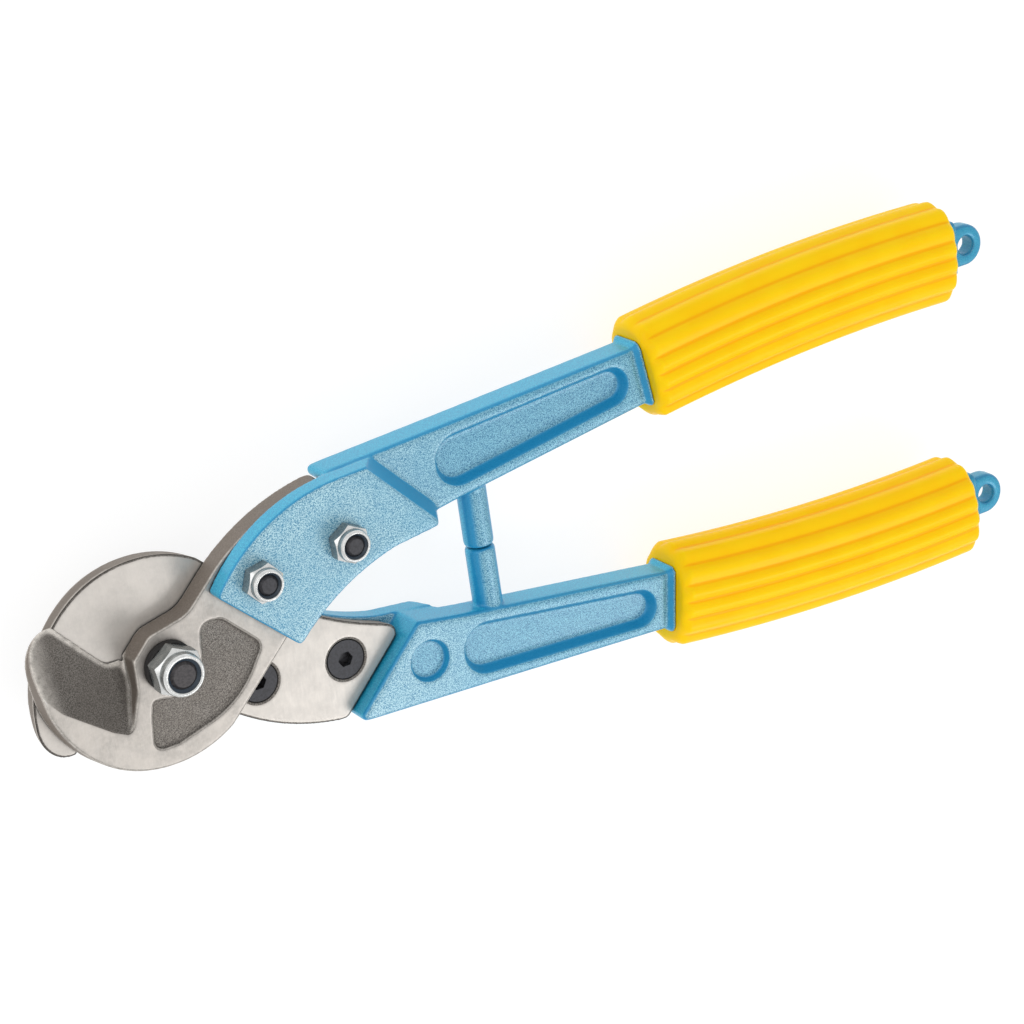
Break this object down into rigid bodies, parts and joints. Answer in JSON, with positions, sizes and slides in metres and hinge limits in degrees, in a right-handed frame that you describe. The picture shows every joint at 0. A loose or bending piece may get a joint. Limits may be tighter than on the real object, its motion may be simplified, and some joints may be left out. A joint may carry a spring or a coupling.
{
  "type": "cable cutter",
  "caption": "Two-handed cable cutter with hooked overlapping jaws, one centre pivot bolt, bolted-on blades, blue arms and ribbed yellow grips.",
  "frame": {"origin": "centre of the bounding box with the jaws shut; the plane Z = 0 is the sliding plane between the two blades", "axes": "+X runs from the jaws to the handle ends, +Y to the upper handle, +Z towards the viewer along the pivot bolt, out of the flat of the tool"},
  "size_m": [0.3273, 0.1158, 0.038],
  "materials": {
    "forged_steel": "ground faces over dark grainy forging",
    "blue_paint": "semi-gloss fine-textured sky blue",
    "yellow_grip": "satin-gloss moulded vinyl",
    "black_screw": "black oxide",
    "bright_nut": "bright zinc",
    "nylon_insert": "dark nylon",
    "pivot_steel": "oiled steel"
  },
  "bodies": {
    "upper_half": {"upper_handle": "blue_paint", "front_blade": "forged_steel", "upper_grip": "yellow_grip", "front_screw_near": "black_screw", "front_screw_far": "black_screw", "front_nut_near": "bright_nut", "front_nut_far": "bright_nut", "front_insert_near": "nylon_insert", "front_insert_far": "nylon_insert", "pivot_bolt": "pivot_steel", "pivot_nut": "bright_nut", "pivot_nut_insert": "nylon_insert", "pivot_washer": "black_screw"},
    "lower_half": {"lower_handle": "blue_paint", "rear_blade": "forged_steel", "lower_grip": "yellow_grip", "rear_screw_near": "black_screw", "rear_screw_far": "black_screw", "rear_nut_near": "bright_nut", "rear_nut_far": "bright_nut", "rear_insert_near": "nylon_insert", "rear_insert_far": "nylon_insert"}
  },
  "joints": [
    {"name": "main_pivot", "type": "hinge", "parent": "upper_half", "child": "lower_half", "pos_m": [-0.12605, 0, 0], "axis": [0, 0, -1], "range_deg": [0, 100]}
  ]
}
